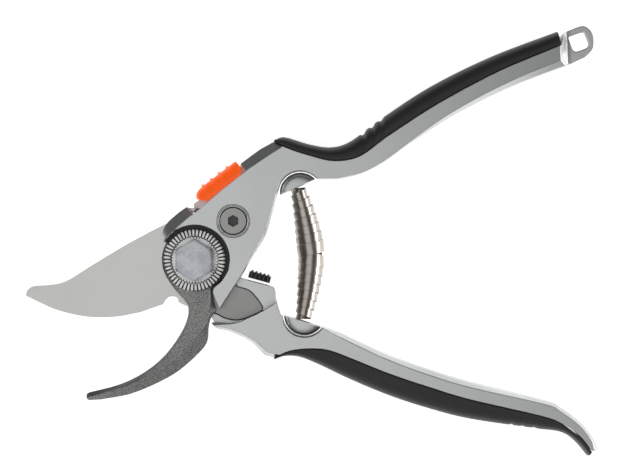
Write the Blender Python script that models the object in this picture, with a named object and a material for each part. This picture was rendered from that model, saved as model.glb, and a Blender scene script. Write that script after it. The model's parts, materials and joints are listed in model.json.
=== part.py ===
"""Bypass pruning shears, lying on their back and fully open.

X points from the pivot along the handles, Y across them, Z is the pivot axis and points to the front.
The origin is where the pivot axis meets the plane that the handles rest on.  Lengths are in
millimetres and are turned into metres when a mesh is made.

The two halves cross at the pivot: the upper handle carries the hooked counter-blade, the lower
handle carries the cutting blade.  From the back, the layers at the pivot are nut, washer, lower
handle's hub, cutting blade, counter-blade, spacer, serrated ring and bolt head.
"""

import math

import bmesh
import bpy
from mathutils import Vector

MM = 0.001

# Layers along the pivot axis
THICK = 16.0
MID = THICK / 2
HUB_Z = (3.2, 6.5)
BLADE_Z = (6.8, 9.8)
HOOK_Z = (10.1, 13.3)
CHEEK_Z = 13.6
SPACER_Z = (13.5, 14.1)
RING_Z = (14.3, 16.0)
HEAD_Z = (16.2, 19.6)
WASHER_Z = (2.2, 3.0)
NUT_Z = (0.0, 2.0)
GAP = 0.3

# Pivot set
BOLT_R = 4.0
BUSH_R = (4.3, 5.7)
BUSH_HOLE_R = 6.0
HEX_FLATS = 13.0
RING_R = 11.2
RING_TEETH = 48
NOTCH_R = 12.6
BLADE_HUB_R = 14.2
LOWER_HUB_R = 14.0
HUB_CLEAR_R = 15.2

# Lug on the cutting blade, which meets the open stop and the lock
LUG_R = 17.0
LUG_DEG = (55.0, 62.0)
LUG_CLEAR_R = 17.4
OPEN_STOP_DEG = 53.0
CLOSED_STOP_DEG = 31.5
HEAD_CUT_DEG = 93.0

# Counter-blade screw
SCREW_AT = (13.8, 14.0)
SCREW_R = 2.5
SCREW_HEAD_R = 4.7
SCREW_SOCKET = 3.6
TANG_EYE_R = 5.5

# Lock: its own frame has X along the head, away from the jaws, and Y outwards
LOCK_AT = (8.0, 28.0)
LOCK_DIR_DEG = 37.4
LOCK_TRAVEL = 4.0
LOCK_Z = (3.5, 12.5)
SLOT_X = (-13.9, 10.4)
SLOT_Y = (-7.2, 6.0)
FACE_EDGE_Y = -3.3
CATCH_X = (-10.7, -8.3)
CATCH_Y = (-5.7, -3.3)

# Spring and its cups
CUP_R = 7.4
CUP_POCKET_R = 8.0
CUP_INSET = 2.4
CUP_FLATNESS = 0.6
UPPER_CUP = (36.85, 26.2)
UPPER_CUP_DEG = 114.0
LOWER_CUP = (38.65, -22.05)
LOWER_CUP_DEG = -107.0
SPRING_MIDDLE = (41.8, 1.9)
SPRING_BOW = 2.6
SPRING_END_R = 2.5
SPRING_MIDDLE_R = 4.9
SPRING_TURNS = 7

# Cutting blade
HEEL = [(2.6, -17.4), (-3.5, -16.7), (-6.2, -15.3)]
TANG_SCREWS = [(12.4, -16.6), (18.8, -15.2)]
GRIND_WIDTH = 3.2
EDGE_LAND = 0.4

# Hanging eye
EYE_Z = (3.0, 12.5)
EYE_RAMP = 3.0
EYE_HOLE_AT = (138.1, 78.4)
EYE_HOLE_HALF = 2.9
EYE_HOLE_CORNER_R = 1.3
EYE_HOLE_DEG = 20.0

# Handles and grips
BELT = 5.8
GRIP_LEVELS = [(0.3, 0.78), (2.0, 0.92), (5.0, 1.0), (11.0, 1.0), (14.0, 0.92), (15.7, 0.78)]

# Looks: colour, roughness, metallic
ALUMINIUM = ((0.42, 0.43, 0.44), 0.42, 0.9)
STEEL = ((0.60, 0.60, 0.58), 0.3, 1.0)
HAMMERED = ((0.13, 0.14, 0.14), 0.45, 0.6)
ZINC = ((0.62, 0.66, 0.72), 0.25, 1.0)
BRASS = ((0.6, 0.45, 0.2), 0.35, 1.0)
BLACK = ((0.02, 0.02, 0.02), 0.5, 0.0)
RUBBER = ((0.03, 0.03, 0.032), 0.75, 0.0)
ORANGE = ((1.0, 0.10, 0.01), 0.4, 0.0)

ROUND = 32


def direction(degrees):
    """Unit vector in the XY plane."""
    angle = math.radians(degrees)
    return Vector((math.cos(angle), math.sin(angle)))


def arc(centre, radius, start, end, count):
    """Points on a circle from one angle to another, in degrees."""
    steps = [start + (end - start) * i / (count - 1) for i in range(count)]
    return [Vector(centre) + radius * direction(angle) for angle in steps]


def curve(points, per_span=4):
    """Smooth curve through a few points, as a Catmull-Rom spline."""
    knots = [Vector(p) for p in points]
    padded = [2 * knots[0] - knots[1], *knots, 2 * knots[-1] - knots[-2]]
    result = []
    for i in range(len(knots) - 1):
        a, b, c, d = padded[i:i + 4]
        for step in range(per_span):
            t = step / per_span
            bend = (2 * a - 5 * b + 4 * c - d) * t * t + (3 * b - a - 3 * c + d) * t ** 3
            result.append(0.5 * (2 * b + (c - a) * t + bend))
    result.append(knots[-1])
    return result


def offset(points, distance, closed=True):
    """Outline moved sideways: to its right-hand side where distance is positive."""
    count = len(points)
    result = []
    for i, point in enumerate(points):
        before = points[i - 1] if closed or i else point
        after = points[(i + 1) % count] if closed or i < count - 1 else point
        along = (after - before).normalized()
        result.append(point + distance * Vector((along.y, -along.x)))
    return result


def between(inner, outer, share):
    """Curve that lies a given share of the way from one curve to another."""
    return [a.lerp(b, share) for a, b in zip(inner, outer)]


def material(name, colour, roughness, metallic):
    """Plain Principled material."""
    made = bpy.data.materials.new(name)
    made.use_nodes = True
    shader = made.node_tree.nodes["Principled BSDF"]
    shader.inputs["Base Color"].default_value = (*colour, 1)
    shader.inputs["Roughness"].default_value = roughness
    shader.inputs["Metallic"].default_value = metallic
    return made


def finish(name, mesh_data, looks, parent=None, smooth=True):
    """Object from a bmesh in millimetres, with its own material."""
    bmesh.ops.scale(mesh_data, vec=(MM, MM, MM), verts=mesh_data.verts)
    bmesh.ops.recalc_face_normals(mesh_data, faces=mesh_data.faces)
    mesh = bpy.data.meshes.new(name)
    mesh_data.to_mesh(mesh)
    mesh_data.free()
    made = bpy.data.objects.new(name, mesh)
    bpy.context.scene.collection.objects.link(made)
    made.parent = parent
    if smooth:
        mesh.shade_smooth()
        mesh.set_sharp_from_angle(angle=math.radians(35))
    if looks:
        mesh.materials.append(material(name, *looks))
    return made


def loft(name, rings, looks=None, parent=None, hollow=False):
    """Solid through rings of points with equal counts.

    The end rings are capped; a hollow solid joins its last ring to its first instead.
    """
    data = bmesh.new()
    loops = [[data.verts.new(p) for p in ring] for ring in rings]
    pairs = list(zip(loops, loops[1:] + loops[:1] if hollow else loops[1:]))
    for low, high in pairs:
        for i in range(len(low)):
            j = (i + 1) % len(low)
            data.faces.new((low[i], low[j], high[j], high[i]))
    if not hollow:
        data.faces.new(loops[0][::-1])
        data.faces.new(loops[-1])
    return finish(name, data, looks, parent)


def level(outline, z):
    """Outline lifted to a height."""
    return [(p[0], p[1], z) for p in outline]


def plate(name, outline, heights, looks=None, parent=None):
    """Outline made into a plate of even thickness."""
    return loft(name, [level(outline, z) for z in heights], looks, parent)


def turned(name, profile, centre=(0, 0), looks=None, parent=None, hollow=False, sides=ROUND):
    """Solid turned about an axis along Z; the profile lists (radius, z)."""
    angles = [360 * i / sides for i in range(sides)]
    rings = []
    for radius, z in profile:
        ring = [Vector(centre) + radius * direction(angle) for angle in angles]
        rings.append(level(ring, z))
    return loft(name, rings, looks, parent, hollow)


def box(name, x, y, z, looks=None, parent=None):
    """Block between two corners."""
    corners = [(x[0], y[0]), (x[1], y[0]), (x[1], y[1]), (x[0], y[1])]
    return plate(name, corners, z, looks, parent)


def combine(target, tool, operation):
    """Boolean of a hidden tool with the target."""
    tool.hide_render = True
    tool.display_type = "WIRE"
    step = target.modifiers.new(operation.title(), "BOOLEAN")
    step.operation = operation
    step.solver = "EXACT"
    step.object = tool


def cut(target, *tools):
    """Take tools away from the target."""
    for tool in tools:
        combine(target, tool, "DIFFERENCE")


def cup_centre(chord_middle, degrees):
    """Centre of a spring cup's sphere, on the spring side of its flat mouth."""
    return Vector(chord_middle) - CUP_INSET * direction(degrees)


def hexagon(flats):
    """Corners of a hexagon with one corner up and one down."""
    return [flats / math.sqrt(3) * direction(30 + 60 * i) for i in range(6)]


# Upper handle -----------------------------------------------------------------------------------

UPPER_SEAM = curve([(28.1, 42.4), (34.2, 39.7), (41.3, 37.4), (50.0, 35.5), (59.2, 37.2), (70.0, 44.9),
                    (87.9, 56.4), (109.4, 67.8), (131.4, 77.0)], 5)
UPPER_GRIP_EDGE = curve([(28.6, 43.3), (32.3, 44.3), (41.3, 41.7), (49.0, 40.7), (56.0, 42.9),
                         (66.7, 50.8), (84.8, 62.6), (106.5, 73.3), (130.6, 82.5)], 5)


def upper_outline(front):
    """Outline of the upper handle at its front face, or at its middle where it is widest."""
    cup = cup_centre(UPPER_CUP, UPPER_CUP_DEG)
    notch = arc((0, 0), NOTCH_R, 150, 0, 20)
    tongue = curve([(12.1, -3.6), (9.8, -7.4), (7.3, -9.6), (6.5, -11.4), (7.3, -13.8), (8.9, -17.6)], 3)
    pocket = arc(cup, CUP_POCKET_R, UPPER_CUP_DEG + 57, UPPER_CUP_DEG - 74, 16)
    if front:
        flank = curve([(9.8, -16.1), (16.3, -6.1), (19.9, 0.5), (23.6, 7.4), (27.0, 15.8), (29.1, 23.4)], 3)
        inner = curve([(51.0, 29.2), (59.2, 31.0), (67.5, 35.2), (77.1, 42.2), (89.0, 50.8), (102.2, 58.5),
                       (116.5, 65.5), (134.4, 72.8)])
        head = curve([(26.0, 37.1), (18.0, 31.6), (9.6, 25.1), (2.0, 18.6), (-3.6, 14.0), (-8.0, 10.0),
                      (-10.7, 7.4)])
    else:
        flank = curve([(9.9, -16.3), (16.5, -6.2), (20.2, 0.4), (24.6, 7.3), (26.7, 12.6), (29.3, 23.3)], 3)
        inner = curve([(51.0, 29.0), (59.2, 30.8), (67.5, 34.8), (77.1, 41.6), (89.0, 49.6), (102.2, 56.9),
                       (116.5, 63.5), (136.0, 70.8)])
        head = curve([(23.2, 39.7), (16.5, 34.7), (8.0, 27.9), (0.4, 21.4), (-5.8, 17.1), (-10.6, 12.6),
                      (-12.2, 8.6)])
    eye = curve([(140.4, 72.8), (143.2, 75.4), (143.8, 78.6), (142.8, 82.2), (140.0, 84.3), (136.6, 83.5),
                 (132.6, 81.7)])
    seam = list(reversed(UPPER_SEAM if not front else UPPER_SEAM[3:]))
    if front:
        seam = seam + curve([seam[-1], (31.7, 40.6)], 3)[1:]
    return notch + tongue + flank + pocket + inner + eye + seam + head


def counter_blade_outline():
    """Hooked counter-blade, with the tang that reaches back to its screw."""
    inner = curve([(-10.4, -6.0), (-8.2, -9.4), (-5.3, -13.0), (-3.2, -15.5), (-2.5, -18.0), (-2.9, -21.2),
                   (-5.3, -26.6), (-10.7, -34.1), (-17.9, -40.2), (-27.0, -44.8), (-38.4, -47.8)], 3)
    tip = [Vector((-39.1, -48.3)), Vector((-39.1, -49.9)), Vector((-38.2, -50.5))]
    outer = curve([(-34.1, -50.3), (-23.3, -48.3), (-12.5, -43.8), (-5.3, -39.5), (1.8, -33.1), (4.4, -29.2),
                   (4.8, -24.6), (5.6, -21.0), (7.4, -18.2), (6.6, -15.1), (6.2, -10.2)], 3)
    hub = arc((0, 0), 12.0, -48, 2, 8)
    tang = arc(SCREW_AT, TANG_EYE_R, -40, 135, 12)
    back = arc((0, 0), 12.0, 88, 210, 16)
    return inner + tip + outer + hub + tang + back


def upper_handle():
    """Aluminium handle: a full-thickness bar whose head is thinned to a front cheek."""
    front = upper_outline(True)
    middle = upper_outline(False)
    rings = [level(front, 0), level(middle, MID - BELT), level(middle, MID + BELT), level(front, THICK)]
    handle = loft("upper_handle", rings, ALUMINIUM)
    far = 60.0
    head_ray = far * direction(HEAD_CUT_DEG)
    closed_ray = 45.0 * direction(CLOSED_STOP_DEG)
    sweep = [(0, 0), head_ray, (-far, far), (-far, -far), (45, -far), closed_ray]
    rear = plate("cut_rear_sweep", sweep[::-1], (-2, HOOK_Z[0] - 0.2))
    hub = turned("cut_rear_hub", [(HUB_CLEAR_R, -1), (HUB_CLEAR_R, HOOK_Z[0] - 0.15)])
    lug = plate("cut_lug_path", [(0, 0), *arc((0, 0), LUG_CLEAR_R, OPEN_STOP_DEG, 130, 16)],
                (HUB_Z[1] - 0.1, HOOK_Z[0] - 0.1))
    hook = plate("cut_counter_blade", offset(counter_blade_outline(), GAP), (HOOK_Z[0] - 0.25, CHEEK_Z))
    screw = turned("cut_screw", [(SCREW_R + GAP, -1), (SCREW_R + GAP, 13.0), (SCREW_R + GAP, 13.1),
                                 (SCREW_HEAD_R + GAP, 15.0), (SCREW_HEAD_R + GAP, 17)], SCREW_AT)
    nut = turned("cut_screw_nut", [(4.0, -1), (4.0, 2.8)], SCREW_AT)
    groove_profile = [(5.5, 15.5), (6.0, 15.5), (6.0, 17), (5.5, 17)]
    groove = turned("cut_screw_groove", groove_profile, SCREW_AT, hollow=True)
    slot = box("cut_lock_slot", SLOT_X, SLOT_Y, (LOCK_Z[0] - GAP, LOCK_Z[1] + GAP), parent=LOCK_FRAME)
    window_z = (LOCK_Z[1] - 1, THICK + 1)
    window = box("cut_lock_window", SLOT_X, (FACE_EDGE_Y, SLOT_Y[1] + 1), window_z, parent=LOCK_FRAME)
    catch_x = (CATCH_X[0] - LOCK_TRAVEL - GAP, CATCH_X[1] + 1)
    catch_z = (BLADE_Z[0] - GAP, BLADE_Z[1])
    catch = box("cut_catch_path", catch_x, (CATCH_Y[0] - GAP, 0), catch_z, parent=LOCK_FRAME)
    hole = plate("cut_hanging_hole", hanging_hole(), (-1, THICK + 1))
    thin = [(134.2, 70), (150, 70), (150, 90), (133.6, 90), (133.6, 81)]
    wide = [(x - EYE_RAMP if x < 140 else x, y) for x, y in thin]
    eye_front = loft("cut_eye_front", [level(thin, EYE_Z[1]), level(wide, THICK + 0.1)])
    eye_back = loft("cut_eye_back", [level(wide, -0.1), level(thin, EYE_Z[0])])
    cut(handle, hole, eye_front, eye_back, rear, hub, lug, hook, screw, nut, groove, slot, catch, window)


def hanging_hole():
    """Rounded square that the handle hangs by."""
    reach = math.sqrt(2) * (EYE_HOLE_HALF - EYE_HOLE_CORNER_R)
    result = []
    for quarter in (45, 135, 225, 315):
        turn = quarter + EYE_HOLE_DEG
        corner = Vector(EYE_HOLE_AT) + reach * direction(turn)
        result += arc(corner, EYE_HOLE_CORNER_R, turn - 45, turn + 45, 5)
    return result


def grip(name, seam, edge, notches, looks):
    """Soft grip on the outside of a handle, rounded towards its outer edge."""
    seam = offset(seam, -GAP if name.startswith("upper") else GAP, closed=False)
    rings = [level(seam + between(seam, edge, share)[::-1], z) for z, share in GRIP_LEVELS]
    made = loft(name, rings, looks)
    for i, place in enumerate(notches):
        cut(made, turned(f"cut_{name}_notch_{i}", [(1.5, -1), (1.5, THICK + 1)], place, sides=20))


def counter_blade():
    """Steel counter-blade with a chamfered front edge."""
    outline = counter_blade_outline()
    inner = offset(outline, -0.7)
    rings = [level(outline, HOOK_Z[0]), level(outline, HOOK_Z[1] - 0.8), level(inner, HOOK_Z[1])]
    hook = loft("counter_blade", rings, HAMMERED)
    cut(hook, turned("cut_hook_pivot", [(BUSH_HOLE_R, 9), (BUSH_HOLE_R, 14)]))
    cut(hook, turned("cut_hook_screw", [(SCREW_R + GAP, 9), (SCREW_R + GAP, 14)], SCREW_AT))


def spring_cup(name, chord_middle, degrees):
    """Half-dome that a spring end sits in, cut flat across its mouth."""
    centre = cup_centre(chord_middle, degrees)
    steps = 12
    profile = []
    for i in range(1, steps):
        angle = math.pi * i / steps
        rise = math.copysign(abs(math.cos(angle)) ** CUP_FLATNESS, math.cos(angle))
        profile.append((CUP_R * math.sin(angle) ** CUP_FLATNESS, MID - CUP_R * rise))
    cup = turned(name, profile, centre, ALUMINIUM)
    mouth = Vector(chord_middle)
    frame = bpy.data.objects.new(f"{name}_mouth", None)
    bpy.context.scene.collection.objects.link(frame)
    frame.location = (mouth.x * MM, mouth.y * MM, MID * MM)
    frame.rotation_euler = (0, math.radians(-90), math.radians(degrees))
    slab = box(f"cut_{name}", (-10, 10), (-10, 10), (0, 12), parent=frame)
    socket = turned(f"cut_{name}_socket", [(SPRING_END_R + GAP, -1.6), (SPRING_END_R + GAP, 1)], parent=frame)
    cut(cup, slab, socket)


# Pivot set --------------------------------------------------------------------------------------

def pivot_set():
    """Bolt, serrated ring, spacer, bush, washer and nut."""
    head = hexagon(HEX_FLATS)
    domed = [p * 0.86 for p in head]
    rings = [level(head, HEAD_Z[0]), level(head, HEAD_Z[1] - 0.9), level(domed, HEAD_Z[1])]
    bolt = loft("pivot_bolt", rings, ZINC)
    combine(bolt, turned("join_bolt_shank", [(BOLT_R, 0), (BOLT_R, HEAD_Z[0] + 1)]), "UNION")
    teeth = []
    for i in range(RING_TEETH):
        pitch = 360 / RING_TEETH
        teeth += [RING_R * direction(i * pitch), (RING_R - 0.7) * direction((i + 0.5) * pitch)]
    bore = [BUSH_R[0] / p.length * p for p in teeth]
    step = [p.normalized() * 7.9 for p in teeth]
    rings = [level(bore, RING_Z[0]), level(teeth, RING_Z[0]), level([p * 0.99 for p in teeth], RING_Z[1]),
             level(step, RING_Z[1] - 0.1), level(step, RING_Z[1] - 0.5), level(bore, RING_Z[1] - 0.5)]
    loft("serrated_ring", rings, ZINC, hollow=True)
    for name, inner, outer, heights, looks in (
            ("spacer_washer", BUSH_R[0], 11.3, SPACER_Z, BLACK),
            ("pivot_bush", BUSH_R[0], BUSH_R[1], (HUB_Z[0], HOOK_Z[1]), BRASS),
            ("rear_washer", BUSH_R[0], 9.0, WASHER_Z, ZINC)):
        low, high = heights
        turned(name, [(inner, low), (outer, low), (outer, high), (inner, high)], looks=looks, hollow=True)
    nut = plate("pivot_nut", hexagon(HEX_FLATS), NUT_Z, ZINC)
    cut(nut, turned("cut_pivot_nut", [(BUSH_R[0], -1), (BUSH_R[0], 3)]))


def counter_blade_fixing():
    """Countersunk screw with a hexagon socket, and its nut in the back of the head."""
    head = [(SCREW_R, 3.2), (SCREW_R, 13.1), (SCREW_HEAD_R, 15.2), (SCREW_HEAD_R, 15.9)]
    screw = turned("counter_blade_screw", head, SCREW_AT, ZINC)
    socket = [Vector(SCREW_AT) + p for p in hexagon(SCREW_SOCKET)]
    cut(screw, plate("cut_screw_socket", socket, (13.9, 17)))
    turned("counter_blade_nut", [(2.0, 0.6), (3.7, 0.6), (3.7, 2.6), (2.0, 2.6)], SCREW_AT, ZINC, hollow=True)


# Lock -------------------------------------------------------------------------------------------

def lock():
    """Ribbed thumb slider, the steel catch under it and the leaf spring that holds it."""
    outline = [(9.9, -6.1), (9.9, 2.1)]
    for ridge in range(4):
        start = 7.6 - 3.1 * ridge
        outline += [(start, 2.3), (start - 0.5, 3.0), (start - 1.4, 3.0), (start - 1.9, 2.3)]
    outline += [(-6.2, 2.4), (-8.6, 1.6), (-9.6, 0.4), (-9.3, -0.8), (-8.0, -2.2), (-8.0, -6.1)]
    plate("lock_slider", outline, LOCK_Z, ORANGE, LOCK_FRAME)
    box("lock_catch", CATCH_X, CATCH_Y, BLADE_Z, ZINC, LOCK_FRAME)
    box("lock_leaf_spring", (-7, 7), (-6.9, -6.4), (6, 10), ZINC, LOCK_FRAME)


# Lower half -------------------------------------------------------------------------------------

LOWER_SEAM = curve([(28.1, -35.0), (34.2, -32.5), (41.3, -31.7), (48.5, -32.4), (58.0, -36.0), (70.0, -40.8),
                    (84.3, -45.6), (98.6, -49.9), (123.7, -55.7), (131.5, -58.5), (138.0, -63.0),
                    (142.6, -68.6)])
LOWER_GRIP_EDGE = curve([(28.6, -35.9), (32.3, -34.7), (37.7, -35.1), (44.9, -38.0), (55.8, -43.2),
                         (70.3, -49.2), (84.8, -53.9), (99.3, -57.5), (122.0, -60.8), (131.9, -62.2),
                         (137.3, -65.8), (141.6, -70.9)])


def lower_outline(front):
    """Full-thickness part of the lower handle at its front face or at its middle."""
    cup = cup_centre(LOWER_CUP, LOWER_CUP_DEG)
    side = curve([(29.2, -15.4), (29.9, -18.4)], 2)
    pocket = arc(cup, CUP_POCKET_R, LOWER_CUP_DEG - 69, LOWER_CUP_DEG + 73, 16)
    if front:
        inner = curve([(52.1, -27.6), (60.6, -31.8), (70.0, -36.0), (84.3, -41.3), (98.6, -45.6),
                       (125.5, -51.6), (130.8, -54.1), (138.0, -59.4), (142.3, -64.8), (143.1, -67.6)])
        under = curve([(26.5, -33.2), (20.6, -28.4), (12.9, -24.8), (8.2, -24.0), (6.7, -23.2)])
        seam = LOWER_SEAM[3:]
        seam = curve([(30.6, -33.9), seam[0]], 3)[:-1] + seam
    else:
        inner = curve([(52.2, -26.3), (60.8, -30.4), (70.3, -34.7), (84.8, -39.8), (99.3, -44.2),
                       (126.4, -51.0), (132.0, -53.3), (139.1, -58.8), (143.3, -64.2), (144.8, -68.4)])
        under = curve([(25.1, -34.3), (19.7, -29.2), (12.5, -25.7), (7.8, -24.6), (5.9, -22.6)])
        seam = LOWER_SEAM
    crease = curve([(12.7, -22.9), (16.6, -22.0), (24.4, -18.3)], 2)
    return side + pocket + inner + seam[::-1] + under + crease


def tang_outline():
    """Rear part of the cutting blade, let into the lower handle."""
    return curve([(15.0, -9.8), (19.2, -11.2), (21.8, -13.8), (23.9, -17.0), (23.2, -18.6), (18.2, -20.8),
                  (14.5, -21.6), (10.6, -20.8), (7.9, -19.4)], 3)


def lower_handle():
    """Aluminium handle with a thinner arm and a hub that lies behind the cutting blade."""
    front = lower_outline(True)
    middle = lower_outline(False)
    rings = [level(front, 0), level(middle, MID - BELT), level(middle, MID + BELT), level(front, THICK)]
    handle = loft("lower_handle", rings, ALUMINIUM)
    arm = curve([(13.4, -5.2), (17.4, -6.9), (26.6, -9.4), (28.6, -10.8), (29.3, -15.6), (31.0, -20.4)], 3)
    arm += curve([(30.5, -26.0), (20.0, -27.5), (12.5, -24.8), (8.4, -23.4), (6.2, -21.6), (3.0, -15.5)], 3)
    arm += [Vector((0.5, -9.0)), Vector((9.5, -3.0))]
    arm_body = plate("join_arm", arm[::-1], (0.0, BLADE_Z[1]))
    hub = turned("join_hub", [(LOWER_HUB_R, HUB_Z[0]), (LOWER_HUB_R, HUB_Z[1])])
    recess = turned("cut_nut_recess", [(LOWER_HUB_R - 0.5, -1), (LOWER_HUB_R - 0.5, HUB_Z[0] + 0.07)])
    combine(handle, arm_body, "UNION")
    cut(handle, recess)
    combine(handle, hub, "UNION")
    tang = tang_outline() + [Vector(p) for p in HEEL[:2]] + arc((0, 0), BLADE_HUB_R - 0.5, -115, -26, 10)
    pocket = plate("cut_tang_pocket", offset(tang, -GAP), (HUB_Z[1] + 0.05, THICK + 1))
    hub_clear = BLADE_HUB_R + GAP
    blade_hub = turned("cut_blade_hub", [(hub_clear, HUB_Z[1] - 0.05), (hub_clear, THICK + 2)])
    bore = turned("cut_lower_bore", [(BUSH_HOLE_R, -2), (BUSH_HOLE_R, THICK + 4)])
    cut(handle, pocket, blade_hub, bore)
    for i, place in enumerate(TANG_SCREWS):
        hole = [(3.6, -1), (3.6, 2.4), (2.0, 2.5), (2.0, 8)]
        cut(handle, turned(f"cut_tang_screw_hole_{i}", hole, place, sides=20))
    seat = turned("cut_lower_cup", [(CUP_POCKET_R, -1), (CUP_POCKET_R, THICK + 3)],
                  cup_centre(LOWER_CUP, LOWER_CUP_DEG))
    cut(handle, seat)


def cutting_blade():
    """Curved cutting blade with its heel lug, wire notch and tang."""
    spine = curve([(-61.0, -11.2), (-58.8, -9.6), (-52.6, -9.1), (-46.5, -7.6), (-38.1, -2.4), (-23.7, 6.2),
                   (-11.0, 12.8), (-7.6, 13.4)])
    hub_top = arc((0, 0), BLADE_HUB_R, 114, LUG_DEG[1] + 1, 8)
    lug = arc((0, 0), LUG_R, LUG_DEG[1], LUG_DEG[0], 3)
    hub_side = arc((0, 0), BLADE_HUB_R, LUG_DEG[0] - 1, -30, 14)
    heel = [Vector(p) for p in HEEL]
    notch = curve([(-6.3, -14.1), (-7.6, -13.3), (-9.4, -13.4), (-10.8, -14.4), (-11.8, -16.1)], 2)
    edge = curve([(-20.1, -19.0), (-27.3, -20.4), (-34.5, -20.8), (-41.7, -20.2), (-51.0, -17.8),
                  (-61.3, -13.0)])
    outline = spine + hub_top + lug + hub_side + tang_outline() + heel + notch + edge
    low, high = BLADE_Z
    blade = plate("cutting_blade", outline[::-1], (low, high), STEEL)
    cut(blade, turned("cut_blade_pivot", [(BUSH_HOLE_R, low - 1), (BUSH_HOLE_R, high + 1)]))
    path = [edge[0] + Vector((3.0, 0.9)), *edge[:-1]]
    sections = [(0.0, high - EDGE_LAND), (-GRIND_WIDTH, low - 0.6), (2.0, low - 0.6), (2.0, high - EDGE_LAND)]
    grind_cut(blade, [level(offset(path, -shift, closed=False), z) for shift, z in sections])
    for i, place in enumerate(TANG_SCREWS):
        cut(blade, turned(f"cut_tang_thread_{i}", [(2.0, low - 1), (2.0, high - 0.9)], place, sides=20))


def grind_cut(blade, rings):
    """Grind the back of the cutting edge with a long wedge along it."""
    data = bmesh.new()
    loops = [[data.verts.new(p) for p in ring] for ring in rings]
    for a, b in zip(loops, loops[1:] + loops[:1]):
        for i in range(len(a) - 1):
            data.faces.new((a[i], a[i + 1], b[i + 1], b[i]))
    data.faces.new([loop[0] for loop in loops])
    data.faces.new([loop[-1] for loop in loops])
    cut(blade, finish("cut_blade_grind", data, None))


def tang_screws():
    """Two screws that hold the blade's tang from the back."""
    for i, place in enumerate(TANG_SCREWS):
        profile = [(3.3, 0.4), (3.3, 1.2), (1.7, 2.2), (1.7, 8.4)]
        turned(f"tang_screw_{i + 1}", profile, place, ZINC, sides=20)


def bumper():
    """Ribbed rubber stop on the arm, which meets the upper handle when the shears close."""
    start = Vector((18.9, -6.35))
    along = (Vector((26.6, -8.5)) - start).normalized()
    up = Vector((-along.y, along.x))
    points = [start, start + 2.3 * up]
    for rib in range(5):
        left = 0.5 + 1.5 * rib
        points += [start + left * along + 2.9 * up, start + (left + 0.9) * along + 2.9 * up,
                   start + (left + 1.2) * along + 2.3 * up]
    points.append(start + 8.0 * along)
    plate("bumper", points[::-1], (2.5, 9.6), RUBBER)


# Spring -----------------------------------------------------------------------------------------

def spring():
    """Two volutes that telescope from the middle to the cups, as stepped barrels."""
    top = Vector(UPPER_CUP) + 1.2 * direction(UPPER_CUP_DEG)
    low = Vector(LOWER_CUP) + 1.2 * direction(LOWER_CUP_DEG)
    middle = Vector(SPRING_MIDDLE)
    for name, end in (("upper_volute", top), ("lower_volute", low)):
        rings = []
        for turn in range(SPRING_TURNS):
            for share in (turn / SPRING_TURNS, (turn + 0.9) / SPRING_TURNS):
                t = 0.02 + 0.98 * share
                centre = middle.lerp(end, t) + SPRING_BOW * (1 - (1 - t) ** 2 - t) * Vector((1, 0))
                taper = turn / (SPRING_TURNS - 1)
                radius = SPRING_MIDDLE_R + (SPRING_END_R - SPRING_MIDDLE_R) * taper ** 1.4
                rings.append((centre, radius))
        sweep(name, rings, SPRING_FRAME)


def sweep(name, stations, parent):
    """Round body through stations of centre and radius, square to the way it runs."""
    origin = Vector(UPPER_CUP)
    loops = []
    for i, (centre, radius) in enumerate(stations):
        before = stations[max(i - 1, 0)][0]
        after = stations[min(i + 1, len(stations) - 1)][0]
        along = (after - before).normalized()
        side = Vector((along.y, -along.x))
        loop = []
        for k in range(20):
            angle = 2 * math.pi * k / 20
            flat = centre + radius * math.cos(angle) * side - origin
            loop.append((flat.x, flat.y, radius * math.sin(angle)))
        loops.append(loop)
    loft(name, loops, STEEL, parent)


def empty(name, place, z=0.0, degrees=0.0):
    """Parent for pieces that move or are turned together."""
    made = bpy.data.objects.new(name, None)
    bpy.context.scene.collection.objects.link(made)
    made.location = (place[0] * MM, place[1] * MM, z * MM)
    made.rotation_euler = (0, 0, math.radians(degrees))
    return made


for old in list(bpy.data.objects):
    bpy.data.objects.remove(old, do_unlink=True)

LOCK_FRAME = empty("lock_frame", LOCK_AT, degrees=LOCK_DIR_DEG)
SPRING_FRAME = empty("spring_frame", UPPER_CUP, MID)

upper_handle()
grip("upper_grip", UPPER_SEAM, UPPER_GRIP_EDGE, [(60.2, 46.6), (63.4, 49.2), (66.4, 51.6)], RUBBER)
counter_blade()
counter_blade_fixing()
pivot_set()
spring_cup("upper_spring_cup", UPPER_CUP, UPPER_CUP_DEG)
lock()
lower_handle()
grip("lower_grip", LOWER_SEAM, LOWER_GRIP_EDGE, [(113.8, -60.9), (117.8, -61.5), (121.9, -62.0)], RUBBER)
cutting_blade()
tang_screws()
bumper()
spring_cup("lower_spring_cup", LOWER_CUP, LOWER_CUP_DEG)
spring()
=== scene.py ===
# %% [markdown]
# # Bypass pruning shears
#
# A pair of garden shears lies on its back, wide open. The mechanical model is loaded as a frame and gives
# every size and place. On top of it each visible piece is modelled again with rounded edges and a proper
# finish: cast aluminium handles, soft grips, a ground blade, a hammered hook, a zinc pivot and a polished
# strip spring.

# %% Load the frame
import json
import math

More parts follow.
